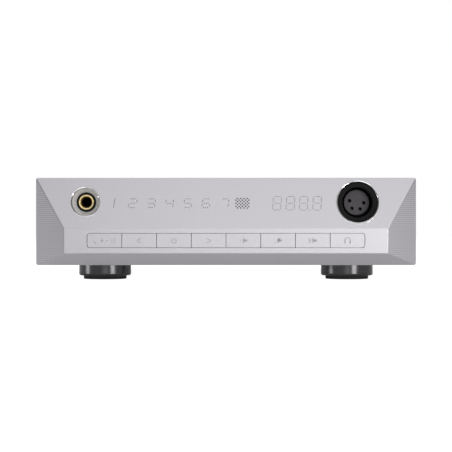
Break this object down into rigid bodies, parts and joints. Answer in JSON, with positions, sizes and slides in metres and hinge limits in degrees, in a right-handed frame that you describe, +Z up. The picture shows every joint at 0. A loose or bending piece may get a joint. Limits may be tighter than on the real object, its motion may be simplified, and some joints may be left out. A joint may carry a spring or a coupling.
{
  "type": "headphone amplifier",
  "caption": "Low half-width aluminium audio unit with a faceted front: a row of flush keys, a dotted display, a headphone jack and a round multi-pin headphone socket, on round feet.",
  "frame": {"origin": "middle of the bounding box, at table height under the feet", "axes": "+Z up, -Y towards the front panel, +X to the right seen from the front"},
  "size_m": [0.235, 0.281, 0.0638],
  "materials": {
    "case_aluminium": "fine bead-blasted and clear anodised",
    "rear_aluminium": "anodised, satin",
    "polished_ring": "polished",
    "screw_steel": "plated",
    "foot_metal": "polished gunmetal",
    "foot_rubber": "matt black",
    "black_plastic": "matt",
    "black_metal": "black lacquer",
    "insert_plastic": "moulded dark grey",
    "gold_plate": "gold plated",
    "tinned_brass": "tinned",
    "circuit_board": "solder mask",
    "chip_black": "moulded",
    "capacitor_sleeve": "sleeve",
    "diffuser": "frosted",
    "standoff_brass": "plain",
    "coil_tape": "wound tape",
    "clamp_steel": "zinc plated",
    "fuse_glass": "clear",
    "wire_sleeve": "insulated",
    "ribbon": "grey ribbon"
  },
  "bodies": {
    "case": {"board_screws": "screw_steel", "board_standoffs": "standoff_brass", "bottom_plate": "case_aluminium", "button_board": "circuit_board", "capacitors": "capacitor_sleeve", "case_screws": "screw_steel", "chips": "chip_black", "digit_module": "black_plastic", "display_board": "circuit_board", "display_diffuser": "diffuser", "flat_cables": "ribbon", "foot_cups": "foot_metal", "foot_pads": "foot_rubber", "foot_screws": "screw_steel", "front_panel": "case_aluminium", "heat_sink": "black_metal", "inlet_blades": "tinned_brass", "input_lamps": "black_plastic", "jack_body": "black_plastic", "jack_bushing": "gold_plate", "jack_contacts": "gold_plate", "jack_trim_ring": "polished_ring", "key_frame": "black_plastic", "left_side_rail": "case_aluminium", "main_board": "circuit_board", "mains_inlet": "black_plastic", "mains_switch_housing": "black_plastic", "mains_wires": "wire_sleeve", "optical_sockets": "black_plastic", "output_transistors": "chip_black", "power_board": "circuit_board", "rca_sockets": "gold_plate", "rear_panel": "rear_aluminium", "remote_receiver": "black_plastic", "right_side_rail": "case_aluminium", "signal_relays": "black_plastic", "socket_screws": "screw_steel", "tact_switches": "black_plastic", "top_cover": "case_aluminium", "transformer_clamp": "clamp_steel", "transformer_coil": "coil_tape", "usb_socket": "tinned_brass", "xlr_contacts": "gold_plate", "xlr_insert": "insert_plastic", "xlr_out_sockets": "black_metal", "xlr_shell": "black_metal", "xlr_trim_ring": "polished_ring"},
    "gain_key": {"gain_key": "case_aluminium"},
    "input_back_key": {"input_back_key": "case_aluminium"},
    "power_key": {"power_key": "case_aluminium"},
    "input_next_key": {"input_next_key": "case_aluminium"},
    "volume_down_key": {"volume_down_key": "case_aluminium"},
    "mute_key": {"mute_key": "case_aluminium"},
    "volume_up_key": {"volume_up_key": "case_aluminium"},
    "output_key": {"output_key": "case_aluminium"},
    "fuse_drawer": {"fuse_drawer": "black_plastic", "fuse": "fuse_glass"},
    "mains_rocker": {"mains_rocker": "black_plastic"},
    "lower_optical_flap": {"lower_optical_flap": "black_plastic"},
    "upper_optical_flap": {"upper_optical_flap": "black_plastic"}
  },
  "joints": [
    {"name": "gain_press", "type": "slide", "parent": "case", "child": "gain_key", "axis": [0, 1, 0], "range_m": [0, 0.0005], "stiffness_N_per_m": 1500, "springref_m": -0.0006},
    {"name": "input_back_press", "type": "slide", "parent": "case", "child": "input_back_key", "axis": [0, 1, 0], "range_m": [0, 0.0005], "stiffness_N_per_m": 1500, "springref_m": -0.0006},
    {"name": "power_press", "type": "slide", "parent": "case", "child": "power_key", "axis": [0, 1, 0], "range_m": [0, 0.0005], "stiffness_N_per_m": 1500, "springref_m": -0.0006},
    {"name": "input_next_press", "type": "slide", "parent": "case", "child": "input_next_key", "axis": [0, 1, 0], "range_m": [0, 0.0005], "stiffness_N_per_m": 1500, "springref_m": -0.0006},
    {"name": "volume_down_press", "type": "slide", "parent": "case", "child": "volume_down_key", "axis": [0, 1, 0], "range_m": [0, 0.0005], "stiffness_N_per_m": 1500, "springref_m": -0.0006},
    {"name": "mute_press", "type": "slide", "parent": "case", "child": "mute_key", "axis": [0, 1, 0], "range_m": [0, 0.0005], "stiffness_N_per_m": 1500, "springref_m": -0.0006},
    {"name": "volume_up_press", "type": "slide", "parent": "case", "child": "volume_up_key", "axis": [0, 1, 0], "range_m": [0, 0.0005], "stiffness_N_per_m": 1500, "springref_m": -0.0006},
    {"name": "output_press", "type": "slide", "parent": "case", "child": "output_key", "axis": [0, 1, 0], "range_m": [0, 0.0005], "stiffness_N_per_m": 1500, "springref_m": -0.0006},
    {"name": "fuse_drawer_slide", "type": "slide", "parent": "case", "child": "fuse_drawer", "axis": [0, 1, 0], "range_m": [0, 0.018]},
    {"name": "mains_rocker_tilt", "type": "hinge", "parent": "case", "child": "mains_rocker", "pos_m": [0.053, 0.1303, 0.0374], "axis": [1, 0, 0], "range_deg": [0, 20]},
    {"name": "lower_flap_fold", "type": "hinge", "parent": "case", "child": "lower_optical_flap", "pos_m": [0.021, 0.12945, 0.0322], "axis": [-1, 0, 0], "range_deg": [0, 88], "stiffness_Nm_per_rad": 0.0005},
    {"name": "upper_flap_fold", "type": "hinge", "parent": "case", "child": "upper_optical_flap", "pos_m": [0.021, 0.12945, 0.0532], "axis": [-1, 0, 0], "range_deg": [0, 88], "stiffness_Nm_per_rad": 0.0005}
  ]
}
